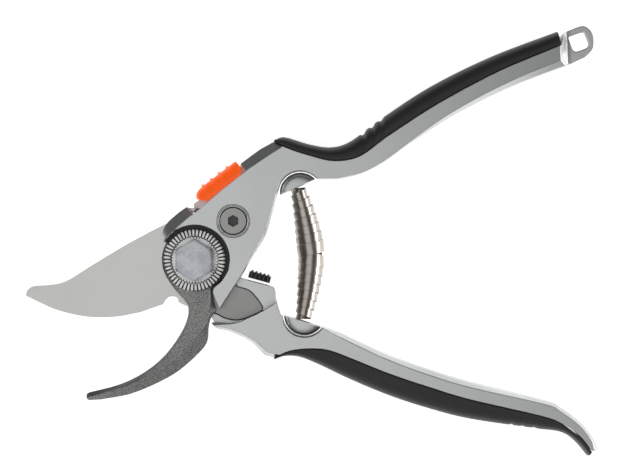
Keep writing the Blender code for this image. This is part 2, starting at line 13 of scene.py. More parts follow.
import bpy
import bmesh
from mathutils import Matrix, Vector


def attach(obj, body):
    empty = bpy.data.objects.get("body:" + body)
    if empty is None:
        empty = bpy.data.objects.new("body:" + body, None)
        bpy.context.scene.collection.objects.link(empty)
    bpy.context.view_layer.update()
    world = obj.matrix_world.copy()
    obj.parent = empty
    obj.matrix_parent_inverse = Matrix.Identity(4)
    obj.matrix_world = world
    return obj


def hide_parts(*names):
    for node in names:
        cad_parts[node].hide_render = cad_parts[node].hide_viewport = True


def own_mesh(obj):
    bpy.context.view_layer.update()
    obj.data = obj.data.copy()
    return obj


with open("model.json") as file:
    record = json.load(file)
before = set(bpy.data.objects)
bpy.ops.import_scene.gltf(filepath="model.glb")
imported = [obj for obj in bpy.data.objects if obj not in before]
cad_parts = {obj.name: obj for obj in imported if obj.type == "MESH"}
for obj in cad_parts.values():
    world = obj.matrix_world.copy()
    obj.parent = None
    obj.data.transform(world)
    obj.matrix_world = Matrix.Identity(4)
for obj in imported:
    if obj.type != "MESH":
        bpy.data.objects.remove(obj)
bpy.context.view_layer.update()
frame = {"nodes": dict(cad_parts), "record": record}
nodes = frame["nodes"]
MM = 0.001

# %% [markdown]
# ## Camera, floor and light
#
# Such tools are shown from straight above, through a long lens that hardly bends the perspective. A pale
# table fills the view, and three large soft lamps stand around it: a wide one overhead for the flat faces,
# a brighter one at the right for the insides of the handles, and a weak one in front. There is none at the
# left, so that the outer slopes stay dark.

# %% Camera
CAMERA_HEIGHT = 0.700
FACE_HEIGHT = 0.016
VIEW_WIDTH = 0.22626
VIEW_CENTRE = Vector((0.0435, 0.00895))
SENSOR = 36.0
LAMP_TARGET = Vector((0.04, 0.01, 0.0))
LAMPS = {
    "overhead": ((0.80, 0.6), 1.44, (-0.09, -0.05, 0.75)),
    "right_side": ((0.5, 0.3), 2.6, (0.75, -0.05, 0.24)),
    "front_side": ((0.8, 0.3), 0.8, (-0.1, -0.65, 0.40)),
}
WORLD_STRENGTH = 0.07


def add_camera():
    """Long lens, looking straight down on the middle of the shears."""
    data = bpy.data.cameras.new("camera")
    data.sensor_width = SENSOR
    data.lens = SENSOR * (CAMERA_HEIGHT - FACE_HEIGHT) / VIEW_WIDTH
    camera = bpy.data.objects.new("camera", data)
    camera.location = (VIEW_CENTRE.x, VIEW_CENTRE.y, CAMERA_HEIGHT)
    bpy.context.scene.collection.objects.link(camera)
    bpy.context.scene.camera = camera
    return camera


camera = add_camera()
print("lens:", round(camera.data.lens, 1), "mm")

# %% Lights
def add_lamp(name, size, energy, place):
    """Square soft lamp that points at the shears."""
    data = bpy.data.lights.new(name, "AREA")
    data.shape = "RECTANGLE"
    data.size, data.size_y = size
    data.energy = energy
    lamp = bpy.data.objects.new(name, data)
    lamp.location = place
    lamp.rotation_euler = (LAMP_TARGET - Vector(place)).to_track_quat("-Z", "Y").to_euler()
    bpy.context.scene.collection.objects.link(lamp)


for name, (size, energy, place) in LAMPS.items():
    add_lamp(name, size, energy, place)

world = bpy.data.worlds.new("studio")
bpy.context.scene.world = world
world.use_nodes = True
background = world.node_tree.nodes["Background"]
background.inputs["Color"].default_value = (1, 1, 1, 1)
background.inputs["Strength"].default_value = WORLD_STRENGTH
bpy.context.scene.view_settings.view_transform = "Standard"

# %% [markdown]
# ## Writing finishes as sums
#
# A finish is a small network of nodes. To keep it readable, a socket is wrapped so that it can be added
# and multiplied like a number, and one method adds any other node.

# %% A socket that can be used in sums
class Value:
    """An output socket; arithmetic on it adds Math nodes."""

    def __init__(self, finish, socket):
        self.finish = finish
        self.socket = socket

    def math(self, operation, other):
        node = self.finish.tree.nodes.new("ShaderNodeMath")
        node.operation = operation
        for slot, value in zip(node.inputs, (self, other)):
            self.finish.feed(slot, value)
        return Value(self.finish, node.outputs[0])

    def __add__(self, other):
        return self.math("ADD", other)

    def __mul__(self, other):
        return self.math("MULTIPLY", other)

    __radd__ = __add__

    def between(self, low, high):
        """0 below low, 1 above high, and a smooth rise in between."""
        return self.finish.node("ShaderNodeMapRange", {"interpolation_type": "SMOOTHSTEP"},
                                Value=self, **{"From Min": low, "From Max": high})


class Finish:
    """A material with one Principled shader and a few ways to drive it."""

    def __init__(self, name, colour, roughness, metallic):
        self.material = bpy.data.materials.new(name)
        self.material.use_nodes = True
        self.tree = self.material.node_tree
        self.shader = self.tree.nodes["Principled BSDF"]
        self.set(**{"Base Color": (*colour, 1), "Roughness": roughness, "Metallic": metallic})
        self.place = self.node("ShaderNodeTexCoord", output="Object")

    def feed(self, slot, value):
        if isinstance(value, Value):
            self.tree.links.new(value.socket, slot)
        else:
            slot.default_value = value

    def set(self, **sockets):
        for name, value in sockets.items():
            self.feed(self.shader.inputs[name], value)

    def node(self, kind, settings=None, output=0, **sockets):
        """Any node: its settings first, then the values or links of its sockets."""
        node = self.tree.nodes.new(kind)
        for name, value in (settings or {}).items():
            setattr(node, name, value)
        for name, value in sockets.items():
            self.feed(node.inputs[name], value)
        return Value(self, node.outputs[output])

    def noise(self, scale, detail=2.0, rough=0.5, stretch=(1, 1, 1)):
        """Soft random pattern, from 0 to 1, in lengths of the real object."""
        spot = self.node("ShaderNodeMapping", Vector=self.place, Scale=stretch)
        return self.node("ShaderNodeTexNoise", {"normalize": True}, Vector=spot,
                         Scale=scale, Detail=detail, Roughness=rough)

    def axis(self, letter):
        """One coordinate of the object, in metres."""
        return self.node("ShaderNodeSeparateXYZ", output=letter, Vector=self.place)

    def mix(self, share, low, high):
        """Colour that goes from low to high with the share."""
        node = self.tree.nodes.new("ShaderNodeMix")
        node.data_type = "RGBA"
        self.feed(node.inputs["Factor"], share)
        for slot, colour in ((node.inputs[6], low), (node.inputs[7], high)):
            self.feed(slot, colour if isinstance(colour, Value) else (*colour, 1))
        return Value(self, node.outputs[2])

    def bump(self, height, strength, distance):
        """Small relief on the surface, in metres."""
        relief = self.node("ShaderNodeBump", Strength=strength, Distance=distance, Height=height)
        self.set(Normal=relief)


print("finish helper ready")

# %% [markdown]
# ## Finishes
#
# Cast aluminium is blasted, so it has a fine sparkle and a soft sheen; the hanging eye gets a painted highlight,
# a near-white colour in place of a lamp's reflection. The pivot parts are zinc plated: bright and cloudy, with
# painted shade in the gaps between the ring's teeth and in the screw's socket. The blade carries fine lines from
# the grinding wheel, and its tang is darker. The hook has a hammered coat, dark with small round dimples, and its
# inner slope, which faces away from the lamps, is painted darker as shade. The slider's orange plastic glows a
# little, as painted light. The grips are matte black rubber-like plastic.

# %% Cast aluminium
FINE_RELIEF = 0.00003
EYE_X = (0.134, 0.136)
EYE_Y = (0.0, 0.05)
EYE_HIGHLIGHT_COLOUR = (0.92, 0.92, 0.915)


def cast_aluminium(name, dark, light):
    finish = Finish(name, light, 0.37, 1.0)
    grain = finish.noise(2600, 3)
    cloud = finish.noise(60, 2)
    # Painted highlight: the face of the hanging eye is given a near-white colour that stands in for a lamp's
    # reflection.
    eye_highlight = finish.axis("X").between(*EYE_X) * finish.axis("Y").between(*EYE_Y)
    finish.set(**{"Base Color": finish.mix(eye_highlight, finish.mix(cloud, dark, light), EYE_HIGHLIGHT_COLOUR)})
    finish.set(Roughness=0.33 + grain * 0.10)
    finish.bump(grain, 0.25, FINE_RELIEF)
    return finish.material


# %% Zinc, ground steel and polished strip
PAINTED_RECESS_SHADE = (0.07, 0.07, 0.07)
SHADE_EDGE_BLEND = 0.0001
RING_SHADE_TOP = 0.01535
SOCKET_SHADE_Z = (0.0146, 0.0157)
TANG_X = (0.004, 0.006)


def bright_zinc(name, dark, light, painted_shade_top=None):
    """Zinc plate; where a height is given, the gaps below it get a painted shade."""
    finish = Finish(name, (0.42, 0.44, 0.46), 0.28, 1.0)
    cloud = finish.noise(240, 4, 0.65)
    speck = finish.noise(1800, 3)
    plate = finish.mix(cloud.between(0.38, 0.62), dark, light)
    if painted_shade_top:
        # Painted shade: below the given height, in the gaps between the ring's teeth, the colour turns
        # near-black.
        height = finish.axis("Z").between(painted_shade_top - SHADE_EDGE_BLEND, painted_shade_top)
        plate = finish.mix(height, PAINTED_RECESS_SHADE, plate)
    finish.set(**{"Base Color": plate})
    finish.set(Roughness=0.24 + cloud * 0.12)
    finish.bump(speck + cloud, 0.2, FINE_RELIEF)
    return finish.material


def ground_steel():
    finish = Finish("ground_steel", (0.72, 0.715, 0.70), 0.34, 1.0)
    lines = finish.noise(2300, 2, 0.5, (1, 0.03, 1))
    cloud = finish.noise(45, 2)
    bright = finish.mix(lines, (0.59, 0.59, 0.572), (0.645, 0.64, 0.622))
    brushed = finish.mix(cloud, (0.25, 0.25, 0.245), (0.36, 0.36, 0.35))
    tang = finish.axis("X").between(*TANG_X)
    finish.set(**{"Base Color": finish.mix(tang, bright, brushed)})
    finish.set(Roughness=0.30 + lines * 0.08 + cloud * 0.06)
    finish.bump(lines, 0.2, FINE_RELIEF)
    return finish.material


def dark_zinc():
    finish = Finish("dark_zinc", (0.34, 0.34, 0.335), 0.34, 1.0)
    cloud = finish.noise(500, 3)
    face = finish.mix(cloud, (0.27, 0.27, 0.265), (0.40, 0.40, 0.39))
    # Painted shade: deep in the hex socket the colour turns near-black.
    height = finish.axis("Z").between(*SOCKET_SHADE_Z)
    finish.set(**{"Base Color": finish.mix(height, PAINTED_RECESS_SHADE, face)})
    finish.set(Roughness=0.28 + cloud * 0.14)
    return finish.material


def polished_strip():
    finish = Finish("polished_strip", (0.60, 0.56, 0.52), 0.25, 1.0)
    cloud = finish.noise(380, 3, 0.5, (1, 0.5, 1))
    finish.set(**{"Base Color": finish.mix(cloud, (0.33, 0.295, 0.265), (0.56, 0.52, 0.48))})
    finish.set(Roughness=0.22 + cloud * 0.14)
    finish.bump(cloud, 0.15, 0.00005)
    return finish.material


# %% Hammered coat and painted shade for its inner slope
def hammered_coat():
    finish = Finish("hammered_coat", (0.14, 0.145, 0.145), 0.38, 0.75)
    dimple = finish.node("ShaderNodeTexVoronoi", {"feature": "SMOOTH_F1"}, output="Distance",
                         Vector=finish.place, Scale=1500.0, Smoothness=0.6)
    speck = finish.noise(3200, 3, 0.7)
    light = speck.between(0.38, 0.62)
    finish.set(**{"Base Color": finish.mix(light, (0.13, 0.135, 0.13), (0.46, 0.47, 0.455))})
    finish.set(Roughness=0.30 + speck * 0.25)
    finish.bump(dimple + speck * 0.6, 0.55, 0.00012)
    return finish.material


def painted_shade_coat():
    # Painted shade: a darker copy of the hook's coat, for the slopes that face away from the lamps.
    finish = Finish("painted_shade_coat", (0.10, 0.105, 0.11), 0.36, 0.9)
    speck = finish.noise(1500, 3)
    finish.set(**{"Base Color": finish.mix(speck, (0.06, 0.063, 0.066), (0.14, 0.145, 0.15))})
    finish.set(Roughness=0.30 + speck * 0.14)
    return finish.material


# %% Grip, slider and small parts
def soft_grip():
    finish = Finish("soft_grip", (0.022, 0.023, 0.024), 0.5, 0.0)
    pores = finish.noise(2200, 4, 0.6)
    cloud = finish.noise(70, 2)
    finish.set(**{"Base Color": finish.mix(cloud, (0.020, 0.021, 0.022), (0.034, 0.035, 0.037))})
    finish.set(Roughness=0.42 + pores * 0.18)
    finish.bump(pores, 0.35, 0.00006)
    return finish.material


def orange_plastic():
    finish = Finish("orange_plastic", (1.0, 0.10, 0.008), 0.34, 0.0)
    cloud = finish.noise(240, 2)
    finish.set(**{"Base Color": finish.mix(cloud, (0.95, 0.10, 0.008), (1.0, 0.14, 0.014))})
    # Painted light: the orange plastic is given an emission, so it glows though it is no lamp.
    finish.set(**{"Emission Color": (1.0, 0.11, 0.008, 1), "Emission Strength": 0.56})
    finish.set(Roughness=0.28 + cloud * 0.14)
    finish.bump(finish.noise(1500, 2), 0.12, 0.00004)
    return finish.material


def black_plastic():
    finish = Finish("black_plastic", (0.012, 0.012, 0.012), 0.45, 0.0)
    finish.set(Roughness=0.38 + finish.noise(900, 2) * 0.16)
    return finish.material


def turned_bronze():
    finish = Finish("turned_bronze", (0.62, 0.44, 0.20), 0.3, 1.0)
    finish.set(Roughness=0.24 + finish.noise(1200, 2, 0.5, (0.1, 0.1, 1)) * 0.18)
    return finish.material


FINISHES = {
    "cast_aluminium": cast_aluminium("cast_aluminium", (0.56, 0.57, 0.575), (0.63, 0.64, 0.645)),
    "zinc": bright_zinc("bright_zinc", (0.37, 0.39, 0.42), (0.49, 0.505, 0.52)),
    "ring_zinc": bright_zinc("ring_zinc", (0.52, 0.52, 0.515), (0.68, 0.68, 0.675), RING_SHADE_TOP),
    "dark_zinc": dark_zinc(),
    "painted_shade_coat": painted_shade_coat(),
    "blade_steel": ground_steel(),
    "spring_steel": polished_strip(),
    "hammered_coat": hammered_coat(),
    "soft_grip": soft_grip(),
    "orange_plastic": orange_plastic(),
    "black_plastic": black_plastic(),
    "bush_bronze": turned_bronze(),
}
SLOT_OF = {part["node"]: part["material_slot"] for part in frame["record"]["subparts"]}
for node, part in nodes.items():
    part.data.materials.clear()
    part.data.materials.append(FINISHES[SLOT_OF[node]])
print("finishes:", ", ".join(FINISHES))

# %% [markdown]
# ## The table
#
# A pale table just under the shears. It glows a little, as a light table does, so that hardly any shadow shows.

# %% Table
TABLE_SIZE = 6
TABLE_DROP = 0.0002
TABLE_GLOW = 0.84


def add_table():
    finish = Finish("pale_table", (0.93, 0.93, 0.93), 0.6, 0.0)
    cloud = finish.noise(12, 2)
    finish.set(**{"Base Color": finish.mix(cloud, (0.92, 0.92, 0.92), (0.95, 0.95, 0.95))})
    finish.set(**{"Emission Color": (1, 1, 1, 1), "Emission Strength": TABLE_GLOW})
    bpy.ops.mesh.primitive_plane_add(size=TABLE_SIZE, location=(0, 0, -TABLE_DROP))
    table = bpy.context.object
    table.name = "table"
    table.data.materials.append(finish.material)


bpy.ops.object.select_all(action="DESELECT")
add_table()
print("table added")

# %% [markdown]
# ## Rounding the cast and stamped parts
#
# No real edge is perfectly sharp: a casting is blasted, a blade is tumbled. A fine bevel catches the light as a
# thin bright line, which is what makes a metal part look real. The shape is taken from its CAD solid, its
# loose triangles are merged into clean faces, and a Bevel modifier rounds each edge.

# %% Rounding helper
DOUBLED = 0.002 * MM
DEGENERATE = 0.001 * MM
SHORT_EDGE = 0.15 * MM
NEARLY_FLAT = math.radians(0.6)
STILL_FLAT = math.radians(1.0)


def only(piece):
    """Select one object and nothing else."""
    bpy.ops.object.select_all(action="DESELECT")
    piece.select_set(True)
    bpy.context.view_layer.objects.active = piece


def apply_all(piece):
    """Apply the piece's modifiers from the top."""
    only(piece)
    for modifier in list(piece.modifiers):
        bpy.ops.object.modifier_apply(modifier=modifier.name)


def clean(piece):
    """Merge corners that a modifier left on one another."""
    only(piece)
    bpy.ops.object.mode_set(mode="EDIT")
    bpy.ops.mesh.select_mode(type="VERT")
    bpy.ops.mesh.select_all(action="SELECT")
    bpy.ops.mesh.remove_doubles(threshold=DOUBLED)
    bpy.ops.mesh.dissolve_degenerate(threshold=DEGENERATE)
    bpy.ops.object.mode_set(mode="OBJECT")


def place_piece(piece, body, *stands_for, finish=None):
    """Give a finished piece its finish and its body, and hide the CAD nodes that it stands for."""
    clean(piece)
    slot = SLOT_OF[stands_for[0]]
    piece.data.materials.clear()
    piece.data.materials.append(FINISHES[finish or slot])
    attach(piece, body)
    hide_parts(*stands_for)
    print(piece.name, len(piece.data.polygons), "faces")


def merge_faces(piece, short=SHORT_EDGE):
    """Merge doubles and short edges, and dissolve the flat edges between triangles."""
    only(piece)
    bpy.ops.object.mode_set(mode="EDIT")
    bpy.ops.mesh.select_all(action="SELECT")
    bpy.ops.mesh.remove_doubles(threshold=DOUBLED)
    bpy.ops.mesh.dissolve_limited(angle_limit=NEARLY_FLAT)
    bpy.ops.mesh.select_all(action="SELECT")
    bpy.ops.mesh.remove_doubles(threshold=short)
    bpy.ops.mesh.dissolve_degenerate(threshold=short)
    bpy.ops.mesh.select_all(action="SELECT")
    bpy.ops.mesh.dissolve_limited(angle_limit=STILL_FLAT)
    bpy.ops.object.mode_set(mode="OBJECT")


def copy_of(node, name):
    """Copy of a CAD solid, with its doubled corners merged."""
    piece = bpy.data.objects.new(name, nodes[node].data.copy())
    bpy.context.scene.collection.objects.link(piece)
    only(piece)
    bpy.ops.mesh.customdata_custom_splitnormals_clear()
    clean(piece)
    return piece


def merged_copy(node, name):
    """Copy of a CAD solid with its triangles merged into clean faces."""
    piece = copy_of(node, name)
    merge_faces(piece)
    return piece


def add_bevel(piece, width, segments, angle):
    """Bevel modifier on every edge sharper than an angle."""
    bevel = piece.modifiers.new("edge", "BEVEL")
    bevel.width = width
    bevel.segments = segments
    bevel.limit_method = "ANGLE"
    bevel.angle_limit = math.radians(angle)
    return bevel


def round_edges(piece, width, segments=3, angle=32):
    """Bevel the edges of a CAD shape, however short they are, and smooth the result."""
    add_bevel(piece, width, segments, angle).use_clamp_overlap = False
    weighted = piece.modifiers.new("weighted", "WEIGHTED_NORMAL")
    weighted.keep_sharp = True
    only(piece)
    bpy.ops.object.shade_smooth()
    apply_all(piece)


ROUNDED = {
    "cutting_blade": ("lower_half", 0.08 * MM),
    "counter_blade_screw": ("upper_half", 0.12 * MM),
    "pivot_nut": ("upper_half", 0.25 * MM),
}
for node, (body, width) in ROUNDED.items():
    piece = merged_copy(node, f"rounded_{node}")
    round_edges(piece, width)
    place_piece(piece, body, node, finish="dark_zinc" if node == "counter_blade_screw" else None)

# %% [markdown]
# ## Rings that make a skin
#
# The grips, the hook's slopes, the serrated ring and the spring have a section that changes along the way. They
# are made as a hull is made: a ring of points is laid, extruded, and the new ring is laid on its own points.

# %% Ring helper
def lay(ring, points):
    """Move the corners of a ring to points in millimetres."""
    for vertex, point in zip(ring, points):
        vertex.co = Vector(point) * MM


def skin(name, rings, closed=False):
    """Skin over rings of points; closed joins the last ring to the first, else both ends are capped."""
    bpy.ops.object.select_all(action="DESELECT")
    bpy.ops.mesh.primitive_circle_add(vertices=len(rings[0]), radius=0.01)
    piece = bpy.context.object
    piece.name = name
    bpy.ops.object.mode_set(mode="EDIT")
    bpy.ops.mesh.select_mode(type="EDGE")
    mesh = bmesh.from_edit_mesh(piece.data)
    count = len(rings[0])
    lay(mesh.verts, rings[0])
    for number, points in enumerate(rings[1:]):
        bpy.ops.mesh.extrude_edges_move()
        mesh = bmesh.from_edit_mesh(piece.data)
        mesh.verts.ensure_lookup_table()
        mesh.verts.index_update()
        old = mesh.verts[number * count:(number + 1) * count]
        first = (number + 1) * count
        fresh = [next(e.other_vert(v) for e in v.link_edges if e.other_vert(v).index >= first)
                 for v in old]
        for index, vertex in enumerate(fresh):
            vertex.index = first + index
        mesh.verts.sort()
        lay(fresh, points)
    close_skin(piece, count, closed)
    bpy.ops.object.mode_set(mode="OBJECT")
    return piece


def close_skin(piece, count, closed):
    """Join the first and last rings, or give each a cap."""
    mesh = bmesh.from_edit_mesh(piece.data)
    mesh.verts.ensure_lookup_table()
    ends = [set(mesh.verts[:count]), set(mesh.verts[-count:])]
    for chosen in ([ends[0] | ends[1]] if closed else ends):
        for edge in mesh.edges:
            edge.select_set(all(v in chosen for v in edge.verts) and edge.is_boundary)
        if closed:
            bpy.ops.mesh.bridge_edge_loops()
        else:
            bpy.ops.mesh.edge_face_add()
    bpy.ops.mesh.select_all(action="SELECT")
    bpy.ops.mesh.normals_make_consistent(inside=False)


def way(degrees):
    """Unit direction in the plane of the shears."""
    angle = math.radians(degrees)
    return Vector((math.cos(angle), math.sin(angle)))


PARTS_PER_SPAN = 24


def smooth_line(points, step):
    """Smooth line through a few points, with corners a fixed step apart."""
    knots = [Vector(p) for p in points]
    padded = [2 * knots[0] - knots[1], *knots, 2 * knots[-1] - knots[-2]]
    fine = []
    for i in range(len(knots) - 1):
        a, b, c, d = padded[i:i + 4]
        for part in range(PARTS_PER_SPAN):
            t = part / PARTS_PER_SPAN
            bend = (2 * a - 5 * b + 4 * c - d) * t * t + (3 * b - a - 3 * c + d) * t ** 3
            fine.append(0.5 * (2 * b + (c - a) * t + bend))
    fine.append(knots[-1])
    return even_line(fine, step)


def even_line(fine, step):
    """Points an even step apart along a fine line."""
    length = [0.0]
    for a, b in zip(fine, fine[1:]):
        length.append(length[-1] + (b - a).length)
    count = max(2, round(length[-1] / step))
    result = []
    place = 0
    for i in range(count + 1):
        target = length[-1] * i / count
        while place < len(fine) - 2 and length[place + 1] < target:
            place += 1
        span = length[place + 1] - length[place]
        result.append(fine[place].lerp(fine[place + 1], (target - length[place]) / span))
    return result


def pick(fine, count):
    """A fixed number of corners, spread over a fine line."""
    return [fine[round(i * (len(fine) - 1) / (count - 1))] for i in range(count)]


def soften(piece, angle):
    """Smooth shading that keeps the real edges."""
    only(piece)
    bpy.ops.object.shade_smooth_by_angle(angle=math.radians(angle))


def paint_shade_on_slopes(piece, name, towards, least, low, high):
    """Give the slopes that face one way a finish of their own; used for painted shade on the side away from the
    lamps.
    """
    piece.data.materials.append(FINISHES[name])
    for face in piece.data.polygons:
        faces_there = face.normal.xy.dot(towards) > least
        face.material_index = int(faces_there and low < face.normal.z < high)


def bevel_piece(piece, width, segments, angle):
    """Rounded edges on a piece that was modelled here."""
    add_bevel(piece, width, segments, angle)
    apply_all(piece)


def combine(piece, tools, operation="DIFFERENCE"):
    """Boolean the tools with the piece, and remove them."""
    for tool in tools:
        step = piece.modifiers.new(tool.name, "BOOLEAN")
        step.operation = operation
        step.solver = "EXACT"
        step.object = tool
    apply_all(piece)
    for tool in tools:
        bpy.data.objects.remove(tool, do_unlink=True)


print("ring helpers ready")

# %% [markdown]
# ## Handles
#
# Both handles are cast, with a flat face, sloping flanks and machined pockets. The CAD solid has all of that, so
# it is kept, and its edges are rounded. On the upper handle, the flank over the thumb slider is trimmed back to
# the line where the face ends, so that no thin lip is left beside the slot. A small wedge fills the end of the
# slot, and the rim of the hanging eye is rounded more than the other edges.

# %% Lock place
LOCK_AT = Vector((8.0, 28.0))
LOCK_DEG = 37.4
LOCK_ALONG = way(LOCK_DEG)
LOCK_OUT = way(LOCK_DEG + 90)


def lock_spot(x, y, z):
    """Point given along and out from the lock's own place."""
    spot = LOCK_AT + LOCK_ALONG * x + LOCK_OUT * y
    return (spot.x, spot.y, z)


# %% Hanging eye
EYE_TOP = 0.0125
EYE_FROM_X = 0.1345
LEVEL = 0.00005
RIM_ANGLE = math.radians(25)


def round_eye(piece):
    """Round the rim of the hanging eye, which is thinner than the handle."""
    only(piece)
    bpy.ops.object.mode_set(mode="EDIT")
    bpy.ops.mesh.select_mode(type="EDGE")
    bpy.ops.mesh.select_all(action="DESELECT")
    mesh = bmesh.from_edit_mesh(piece.data)
    for edge in mesh.edges:
        start, end = (vertex.co for vertex in edge.verts)
        middle = (start + end) / 2
        on_rim = abs(middle.z - EYE_TOP) < LEVEL and abs(start.z - end.z) < LEVEL
        sharp = len(edge.link_faces) == 2 and edge.calc_face_angle() > RIM_ANGLE
        edge.select_set(on_rim and sharp and middle.x > EYE_FROM_X)
    bpy.ops.mesh.bevel(offset=0.55 * MM, segments=4, affect="EDGES", clamp_overlap=False)
    bpy.ops.object.mode_set(mode="OBJECT")


# %% Handles
SLOT_TRIM = [(-13.9, -4.1), (-10.5, -3.9), (-5.0, -3.65), (-0.5, -3.38), (10.4, -3.36), (10.4, 7.0),
             (-13.9, 7.0)]
SLOT_TRIM_Z = (12.7, 18.0)
SLOT_END = [(-14.3, -3.15), (-11.5, -3.15), (-14.3, -0.7)]
SLOT_END_Z = (3.0, 12.3)
HANDLES = {"upper_handle": ("upper_half", 0.25 * MM), "lower_handle": ("lower_half", 0.15 * MM)}
HANDLE_EDGE = 0.22 * MM


def lock_prism(name, outline, heights):
    """Upright prism over an outline that is given along the lock."""
    return skin(name, [[lock_spot(x, y, z) for x, y in outline] for z in heights])


for node, (body, short) in HANDLES.items():
    piece = copy_of(node, f"cast_{node}")
    if node == "upper_handle":
        combine(piece, [lock_prism("slot_end", SLOT_END, SLOT_END_Z)], "UNION")
        combine(piece, [lock_prism("slot_trim", SLOT_TRIM, SLOT_TRIM_Z)])
    merge_faces(piece, short)
    if node == "upper_handle":
        round_eye(piece)
    round_edges(piece, HANDLE_EDGE, 3, 26)
    place_piece(piece, body, node)

# %% [markdown]
# ## Soft grips
#
# Each handle has a moulded grip along its outside. Its section starts flush at the seam with the metal and
# rolls over to the outer edge. Near one end three finger grooves are pressed into the roll.

# %% Grips
MID = 8.0
GRIP_HALF = 7.7
GRIP_STEP = 0.5
GRIP_START = 0.3
GRIP_SIDES = 16
GRIP_SQUARENESS = 0.72
GROOVE_HALF_WIDTH = 1.5
GROOVE_DEPTH = 1.1
GROOVE_PINCH = 0.10
UPPER_SEAM = [(28.1, 42.4), (34.2, 39.7), (41.3, 37.4), (50.0, 35.5), (59.2, 37.2), (70.0, 44.9),
              (87.9, 56.4), (109.4, 67.8), (131.4, 77.0)]
UPPER_EDGE = [(28.6, 43.3), (32.3, 44.3), (41.3, 41.7), (49.0, 40.7), (56.0, 42.9),
              (66.7, 50.8), (84.8, 62.6), (106.5, 73.3), (130.6, 82.5)]
UPPER_GROOVES = [(60.2, 46.6), (63.4, 49.2), (66.4, 51.6)]
LOWER_SEAM = [(28.1, -35.0), (34.2, -32.5), (41.3, -31.7), (48.5, -32.4), (58.0, -36.0), (70.0, -40.8),
              (84.3, -45.6), (98.6, -49.9), (123.7, -55.7), (131.5, -58.5), (138.0, -63.0), (142.6, -68.6)]
LOWER_EDGE = [(28.6, -35.9), (32.3, -34.7), (37.7, -35.1), (44.9, -38.0), (55.8, -43.2),
              (70.3, -49.2), (84.8, -53.9), (99.3, -57.5), (122.0, -60.8), (131.9, -62.2),
              (137.3, -65.8), (141.6, -70.9)]
LOWER_GROOVES = [(113.8, -60.9), (117.8, -61.5), (121.9, -62.0)]


def groove_depth(place, grooves):
    """1 in the middle of a groove, 0 between them."""
    near = min((place - Vector(g)).length for g in grooves)
    return max(0.0, math.cos(min(near / GROOVE_HALF_WIDTH, 1.0) * math.pi / 2))


def grip_ring(seam, edge, grooves):
    """Section of a grip between a point of its seam and one of its outer edge."""
    out = edge - seam
    dip = groove_depth(edge, grooves)
    start = seam + out.normalized() * GRIP_START
    reach = max(out.length - GRIP_START, GRIP_START)
    points = []
    for i in range(GRIP_SIDES + 1):
        angle = math.radians(-90 + 180 * i / GRIP_SIDES)
        rise = math.copysign(abs(math.sin(angle)) ** GRIP_SQUARENESS, math.sin(angle))
        share = abs(math.cos(angle)) ** GRIP_SQUARENESS
        z = MID + GRIP_HALF * rise * (1 - GROOVE_PINCH * dip * share)
        spot = start + out.normalized() * (reach * share - GROOVE_DEPTH * dip * share ** 3)
        points.append((spot.x, spot.y, z))
    return points


def add_grip(name, body, seam, edge, grooves):
    """Soft grip as a skin over its sections."""
    seam_line = smooth_line(seam, GRIP_STEP)
    picked = pick(smooth_line(edge, GRIP_STEP), len(seam_line))
    edge_line = []
    for i in range(len(picked)):
        near = picked[max(0, i - 1):i + 2]
        edge_line.append(sum(near, Vector((0, 0))) / len(near))
    rings = [grip_ring(a, b, grooves) for a, b in zip(seam_line, edge_line)]
    piece = skin(f"moulded_{name}", rings)
    bevel_piece(piece, 0.25 * MM, 2, 60)
    soften(piece, 50)
    place_piece(piece, body, name)


add_grip("upper_grip", "upper_half", UPPER_SEAM, UPPER_EDGE, UPPER_GROOVES)
add_grip("lower_grip", "lower_half", LOWER_SEAM, LOWER_EDGE, LOWER_GROOVES)

# %% [markdown]
# ## Hooked counter-blade
#
# The hook is forged. Its front has a ridge that runs from the heel to the tip, with a slope on each side, and
# a steeper slope along the inside, where the blade passes. The blank comes from its CAD solid; three long
# wedges are laid over it as skins and taken away with Boolean modifiers.

# %% Hook
HOOK_TOP = 13.3
HOOK_STEP = 0.25
HOOK_CORNERS = 60
CUTTER_TOP = HOOK_TOP + 1.5
SHOULDER_START = 0.5
SHOULDER_GROWTH = 1.0
INWARD = Vector((-0.55, 0.83))
HOOK_INNER = [(-3.2, -15.5), (-2.5, -18.0), (-2.9, -21.2), (-5.3, -26.6), (-10.7, -34.1), (-17.9, -40.2),
              (-27.0, -44.8), (-39.4, -48.1)]
HOOK_RIDGE = [(5.6, -15.0), (5.2, -19.0), (4.4, -22.6), (0.4, -27.8), (-5.0, -33.6), (-13.6, -40.4),
              (-23.6, -45.2), (-39.5, -49.3)]
HOOK_OUTER = [(9.6, -14.0), (8.6, -18.5), (6.4, -23.6), (4.6, -31.0), (-3.6, -38.9), (-12.0, -44.7),
              (-23.0, -49.2), (-39.6, -51.4)]


def spread(line):
    """Smooth line with a fixed number of corners, so that two lines can be paired."""
    return pick(smooth_line(line, HOOK_STEP), HOOK_CORNERS)


def wedge(name, near, near_z, far, far_z, beyond=2.0):
    """Cutter whose sloping floor runs from a near line down to a far line, and on past it."""
    rings = []
    for a, b in zip(near, far):
        out = (b - a).normalized()
        drop = (far_z - near_z) / (b - a).length * beyond
        end = b + out * beyond
        rings.append([(a.x, a.y, near_z), (end.x, end.y, far_z + drop), (end.x, end.y, CUTTER_TOP),
                      (a.x, a.y, CUTTER_TOP)])
    return skin(name, rings)


